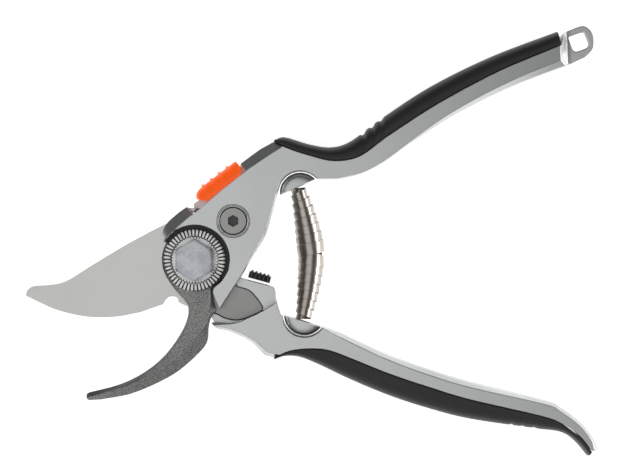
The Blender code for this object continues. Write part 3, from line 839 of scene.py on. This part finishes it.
def add_hook():
    """Counter-blade with its ridge and slopes."""
    piece = merged_copy("counter_blade", "forged_counter_blade")
    inside, ridge, outside = spread(HOOK_INNER), spread(HOOK_RIDGE), spread(HOOK_OUTER)
    shoulder = [a + (b - a).normalized() * (SHOULDER_START + SHOULDER_GROWTH * i / len(inside))
                for i, (a, b) in enumerate(zip(inside, ridge))]
    slopes = [
        wedge("inner_slope", ridge, HOOK_TOP, inside, HOOK_TOP - 0.55),
        wedge("outer_slope", ridge, HOOK_TOP, outside, HOOK_TOP - 1.3),
        wedge("edge_slope", shoulder, HOOK_TOP - 0.35, inside, HOOK_TOP - 1.8, 0.8),
    ]
    combine(piece, slopes)
    merge_faces(piece, 0.05 * MM)
    round_edges(piece, 0.12 * MM, 2, 12)
    place_piece(piece, "upper_half", "counter_blade")
    # Painted shade: the hook's inner slopes that face up-left, away from the lamps, get the darker finish.
    paint_shade_on_slopes(piece, "painted_shade_coat", INWARD, 0.45, 0.15, 0.9)


add_hook()

# %% [markdown]
# ## Serrated ring and bolt head
#
# The ring under the bolt head is turned with a tool: it carries 48 radial teeth, and inside them it is dished.
# A tooth is four corners wide, so each ring of the skin has four times 48 corners. The bolt head is a hexagon
# whose top corners are cut by a cone, as on any turned bolt.

# %% Serrated ring
RING_TEETH = 48
TOOTH_SHARES = (0.04, 0.60, 0.66, 0.98)


def toothed(radius_top, z_top, radius_low, z_low):
    """Ring of corners that steps between the top of a tooth and the gap beside it."""
    points = []
    for tooth in range(RING_TEETH):
        for number, share in enumerate(TOOTH_SHARES):
            on_top = number in (0, 1)
            radius, z = (radius_top, z_top) if on_top else (radius_low, z_low)
            spot = radius * way(360 * (tooth + share) / RING_TEETH)
            points.append((spot.x, spot.y, z))
    return points


def add_serrated_ring():
    """Ring with radial teeth and a dished inside."""
    rings = [
        toothed(4.4, 14.3, 4.4, 14.3), toothed(10.6, 14.3, 10.6, 14.3), toothed(11.1, 14.6, 10.6, 14.6),
        toothed(11.15, 15.5, 10.7, 14.9), toothed(10.9, 15.85, 10.5, 15.0), toothed(10.5, 15.95, 10.2, 15.05),
        toothed(8.9, 15.95, 8.9, 15.2), toothed(8.5, 15.85, 8.5, 15.35), toothed(8.25, 15.6, 8.25, 15.5),
        toothed(8.0, 15.5, 8.0, 15.5), toothed(6.5, 15.45, 6.5, 15.45), toothed(4.4, 15.45, 4.4, 15.45),
    ]
    piece = skin("toothed_ring", rings, closed=True)
    soften(piece, 28)
    place_piece(piece, "upper_half", "serrated_ring", finish="ring_zinc")


add_serrated_ring()

# %% Spacer under the ring, widened into a painted shadow
SHADOW_CRESCENT_ANGLES = (-36.0, 150.0)
SPACER_HOLE_R = 4.4
SPACER_R = 11.25
SHADOW_CRESCENT_R = 12.4
SPACER_LOW = 13.45
SPACER_HIGH = 13.95


def spacer_ring(z, inner=False):
    """Outline of the spacer, widened where the notch in the handle is, into a black crescent of painted shadow.
    """
    points = []
    for i in range(180):
        angle = -180 + 2 * i
        outside = SHADOW_CRESCENT_R if SHADOW_CRESCENT_ANGLES[0] < angle < SHADOW_CRESCENT_ANGLES[1] else SPACER_R
        spot = (SPACER_HOLE_R if inner else outside) * way(angle)
        points.append((spot.x, spot.y, z))
    return points


def add_spacer():
    """Thin black washer; its widened part is a black crescent, a painted shadow in the notch beside the ring."""
    rings = [spacer_ring(SPACER_LOW, True), spacer_ring(SPACER_LOW), spacer_ring(SPACER_HIGH),
             spacer_ring(SPACER_HIGH, True)]
    piece = skin("spacer_washer_and_painted_shadow", rings, closed=True)
    soften(piece, 35)
    place_piece(piece, "upper_half", "spacer_washer")


add_spacer()

# %% Bolt head
ACROSS_FLATS = 13.0
HEX_CORNER_R = ACROSS_FLATS / math.sqrt(3)
SHANK_R = 4.0
HEAD_LOW = 16.2
HEAD_TOP = 19.6


def circle_ring(radius, z, centre=(0, 0), sides=64):
    """Round ring of corners at a height."""
    spots = [Vector(centre) + radius * way(360 * i / sides) for i in range(sides)]
    return [(spot.x, spot.y, z) for spot in spots]


def add_bolt():
    """Bolt: a hexagon, cut by a shallow cone at the top, on a round shank."""
    bpy.ops.object.select_all(action="DESELECT")
    middle = (HEAD_LOW + HEAD_TOP) / 2
    bpy.ops.mesh.primitive_cylinder_add(vertices=6, radius=HEX_CORNER_R * MM,
                                        depth=(HEAD_TOP - HEAD_LOW) * MM, location=(0, 0, middle * MM))
    piece = bpy.context.object
    piece.name = "domed_pivot_bolt"
    bpy.ops.object.transform_apply(location=True, rotation=True, scale=True)
    cone = skin("cone", [circle_ring(9.0, HEAD_LOW - 1), circle_ring(9.0, HEAD_TOP - 0.9),
                         circle_ring(7.45, HEAD_TOP - 0.42), circle_ring(6.9, HEAD_TOP - 0.28),
                         circle_ring(5.9, HEAD_TOP - 0.16), circle_ring(4.2, HEAD_TOP - 0.06),
                         circle_ring(2.0, HEAD_TOP)])
    combine(piece, [cone], "INTERSECT")
    shank = skin("shank", [circle_ring(SHANK_R, 0.0), circle_ring(SHANK_R, HEAD_LOW + 0.5)])
    combine(piece, [shank], "UNION")
    bevel_piece(piece, 0.3 * MM, 3, 30)
    soften(piece, 40)
    place_piece(piece, "upper_half", "pivot_bolt")


add_bolt()

# %% [markdown]
# ## Spring cups
#
# Each end of the spring sits in a half-round cup, cast like a thick coin with a rounded rim. A turned profile
# gives the coin; it is cut flat across its mouth with bisect, and the pocket for the spring end is cut out.

# %% Cups
CUP_INSET = 2.4
CUP_SIDES = 96
POCKET_R = 3.2
POCKET_SIDES = 32
POCKET_DEPTHS = (-1.0, 1.6)
UPPER_MOUTH, UPPER_AWAY = (36.85, 26.2), 114.0
LOWER_MOUTH, LOWER_AWAY = (38.65, -22.05), -107.0
CUPS = {
    "upper_spring_cup": ("upper_half", UPPER_MOUTH, UPPER_AWAY),
    "lower_spring_cup": ("lower_half", LOWER_MOUTH, LOWER_AWAY),
}
CUP_PROFILE = [(0.6, 15.2), (2.4, 15.17), (4.0, 15.1), (5.2, 14.98), (6.1, 14.75), (6.7, 14.35), (7.1, 13.7),
               (7.35, 12.8), (7.4, 11.5)]


def add_cup(node, body, mouth, degrees):
    """Half coin with a rim, cut across its mouth."""
    centre = Vector(mouth) - CUP_INSET * way(degrees)
    profile = CUP_PROFILE + [(radius, 2 * MID - z) for radius, z in reversed(CUP_PROFILE)]
    piece = skin(f"cast_{node}", [circle_ring(radius, z, centre, CUP_SIDES) for radius, z in profile])
    away = way(degrees)
    only(piece)
    bpy.ops.object.mode_set(mode="EDIT")
    bpy.ops.mesh.select_all(action="SELECT")
    bpy.ops.mesh.bisect(plane_co=(mouth[0] * MM, mouth[1] * MM, 0), plane_no=(away.x, away.y, 0),
                        use_fill=True, clear_inner=True)
    bpy.ops.mesh.select_all(action="SELECT")
    bpy.ops.mesh.normals_make_consistent(inside=False)
    bpy.ops.object.mode_set(mode="OBJECT")
    side = Vector((-away.y, away.x))
    rings = []
    for depth in POCKET_DEPTHS:
        ring = []
        for i in range(POCKET_SIDES):
            turn = 2 * math.pi * i / POCKET_SIDES
            spot = Vector(mouth) + away * depth + side * POCKET_R * math.cos(turn)
            ring.append((spot.x, spot.y, MID + POCKET_R * math.sin(turn)))
        rings.append(ring)
    combine(piece, [skin("cup_pocket", rings)])
    soften(piece, 40)
    place_piece(piece, body, node)


for node, (body, mouth, degrees) in CUPS.items():
    add_cup(node, body, mouth, degrees)

# %% [markdown]
# ## Volute spring
#
# The spring is steel strip, wound into two cones that meet at their wide ends. The strip's section is laid turn
# by turn along the bowed middle line, and gets narrower in radius towards the cup. Its loose end in the middle
# is rounded. On a real spring each turn slides inside the next when the handles close.

# %% Volutes
SPRING_MIDDLE = Vector((41.8, 1.9))
SPRING_BOW = 2.6
SPRING_NARROW = 2.5
SPRING_TURNS = 7.5
STRIP_WIDTH = 4.5
STRIP_THICK = 0.3
STRIP_RIM = 0.10
END_WIDTH = 0.25
END_REACH = 1.0
TAPER = 1.6
STRIP_FLARE = 0.16
MIDDLE_OVERLAP = 2.2
STEPS_PER_TURN = 26


def volute_centre(t, end):
    """Point of the bowed middle line, and the way that it runs there."""
    bow = SPRING_BOW * (t - t * t)
    place = SPRING_MIDDLE.lerp(end, t) + Vector((bow, 0))
    run = (end - SPRING_MIDDLE) + Vector((SPRING_BOW * (1 - 2 * t), 0))
    return place, run.normalized()


def add_volute(node, mouth, degrees, hand, first, wide):
    """Strip wound in a cone from the middle to its cup."""
    end = Vector(mouth) + END_REACH * way(degrees)
    rings = []
    total = int(SPRING_TURNS * STEPS_PER_TURN)
    length = (end - SPRING_MIDDLE).length
    half = STRIP_WIDTH / 2
    for i in range(total + 1):
        share = i / total
        t = (share * (length - half) - MIDDLE_OVERLAP + half) / length
        centre, run = volute_centre(t, end)
        side = Vector((run.y, -run.x))
        angle = first + hand * 2 * math.pi * i / STEPS_PER_TURN
        radius = wide + (SPRING_NARROW - wide) * share ** TAPER
        gone = i * 2 * math.pi * radius / STEPS_PER_TURN
        width = half
        if gone < half:
            width = max(math.sqrt(half * half - (half - gone) ** 2), END_WIDTH)
        ring = []
        rim = STRIP_RIM
        for along, depth in ((-width, rim), (-width + rim, 0.0), (width - rim, 0.0), (width, rim),
                             (width, STRIP_THICK - rim), (width - rim, STRIP_THICK),
                             (-width + rim, STRIP_THICK), (-width, STRIP_THICK - rim)):
            reach = radius - depth + STRIP_FLARE * along / half
            spot = centre + run * along + side * reach * math.cos(angle)
            ring.append((spot.x, spot.y, MID + reach * math.sin(angle)))
        rings.append(ring)
    piece = skin(f"wound_{node}", rings)
    soften(piece, 30)
    place_piece(piece, "spring", node)
    return piece


VOLUTES = {
    "upper_volute": (UPPER_MOUTH, UPPER_AWAY, -1, math.radians(-35), 5.05),
    "lower_volute": (LOWER_MOUTH, LOWER_AWAY, 1, math.radians(-100), 4.7),
}
for node, (mouth, degrees, hand, first, wide) in VOLUTES.items():
    piece = add_volute(node, mouth, degrees, hand, first, wide)
    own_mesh(piece)

# %% [markdown]
# ## Thumb slider
#
# The lock is worked with a plastic slider. Its outer side slopes, so that a thumb finds it, and four ridges cross
# it. The sections run along the slider; a ridge lifts the slope where it passes.

# %% Slider
RIDGES = (5.9, 2.4, -1.2, -5.0)
RIDGE_WIDTH = 0.42
RIDGE_REACH = 0.72
RIDGE_RISE = 0.35
SLIDER_LINE = [(-9.6, 0.2), (-9.2, 0.9), (-8.6, 1.5), (-7.6, 1.95), (-6.2, 2.2), (-4.0, 2.25), (9.3, 2.25),
               (9.7, 2.1), (9.9, 1.6)]
SLIDER_FOOT = [(-9.6, -0.4), (-9.2, -0.9), (-8.0, -2.1), (-6.9, -3.1), (-6.6, -6.1), (7.5, -6.1), (7.8, -3.0),
               (9.9, -0.6)]
SLIDER_HIGH = 12.5
SLIDER_LOW = 3.5
SLIDER_START = -9.6
SLIDER_STEP = 0.2
SLIDER_SECTIONS = 98


def along_line(line, x):
    """Value of a line of points at a place along it."""
    for (x0, y0), (x1, y1) in zip(line, line[1:]):
        if x <= x1:
            return y0 + (y1 - y0) * (x - x0) / (x1 - x0)
    return line[-1][1]


def slider_ring(x):
    """Section of the slider, from its foot over the ridged slope and back."""
    lift = max(math.exp(-((x - ridge) / RIDGE_WIDTH) ** 2) for ridge in RIDGES)
    reach = along_line(SLIDER_LINE, x) + RIDGE_REACH * lift
    foot = along_line(SLIDER_FOOT, x)
    high = RIDGE_RISE * lift
    half = [(foot, SLIDER_HIGH), (-3.0, SLIDER_HIGH), (-1.6, 12.3 + 0.4 * high),
            (reach - 1.9, 11.5 + high), (reach - 0.8, 10.7 + high), (reach - 0.15, 9.7), (reach, 8.7)]
    half = [(max(y, foot + 0.04 * number), min(z, SLIDER_HIGH)) for number, (y, z) in enumerate(half)]
    mirrored = [(y, max(2 * MID - z, SLIDER_LOW)) for y, z in reversed(half)]
    return [lock_spot(x, y, z) for y, z in half + mirrored]


def add_slider():
    """Ridged slider as a skin over its sections."""
    places = [SLIDER_START + SLIDER_STEP * i for i in range(SLIDER_SECTIONS)]
    piece = skin("ridged_lock_slider", [slider_ring(x) for x in places])
    bevel_piece(piece, 0.3 * MM, 3, 50)
    soften(piece, 45)
    place_piece(piece, "lock", "lock_slider")


add_slider()

# %% [markdown]
# ## Bumper
#
# A rubber block on the lower arm comes up close to the upper handle when the shears close. Its five ribs run
# over the top and the outer side, so it is laid as sections along its length, which swell at every rib.

# %% Bumper
BUMPER_START = Vector((18.9, -6.35))
BUMPER_ALONG = Vector((7.7, -2.15)).normalized()
BUMPER_UP = Vector((-BUMPER_ALONG.y, BUMPER_ALONG.x))
BUMPER_LENGTH = 8.0
BUMPER_STEP = 0.1
RIB_PITCH = 1.5
RIB_START = 0.35
RIB_SHARE = 0.72


def bumper_ring(x):
    """Section of the bumper, swollen at a rib."""
    phase = ((x - RIB_START) / RIB_PITCH) % 1.0
    swell = math.sin(math.pi * min(phase / RIB_SHARE, 1.0)) ** 0.6 if phase < RIB_SHARE else 0.0
    end = min(x, BUMPER_LENGTH - x)
    swell *= min(1.0, end / 0.3)
    high = 2.3 + 0.6 * swell
    top = 8.9 + 0.65 * swell
    low = 3.2 - 0.65 * swell
    result = []
    for y, z in ((0.0, low), (high - 0.5, low), (high - 0.15, low + 0.2), (high, low + 0.7),
                 (high, top - 0.7), (high - 0.15, top - 0.2), (high - 0.5, top), (0.0, top)):
        spot = BUMPER_START + BUMPER_ALONG * x + BUMPER_UP * y
        result.append((spot.x, spot.y, z))
    return result


def add_bumper():
    """Ribbed rubber block as a skin over its sections."""
    sections = round(BUMPER_LENGTH / BUMPER_STEP) + 1
    piece = skin("ribbed_bumper", [bumper_ring(BUMPER_STEP * i) for i in range(sections)])
    soften(piece, 50)
    place_piece(piece, "lower_half", "bumper")


add_bumper()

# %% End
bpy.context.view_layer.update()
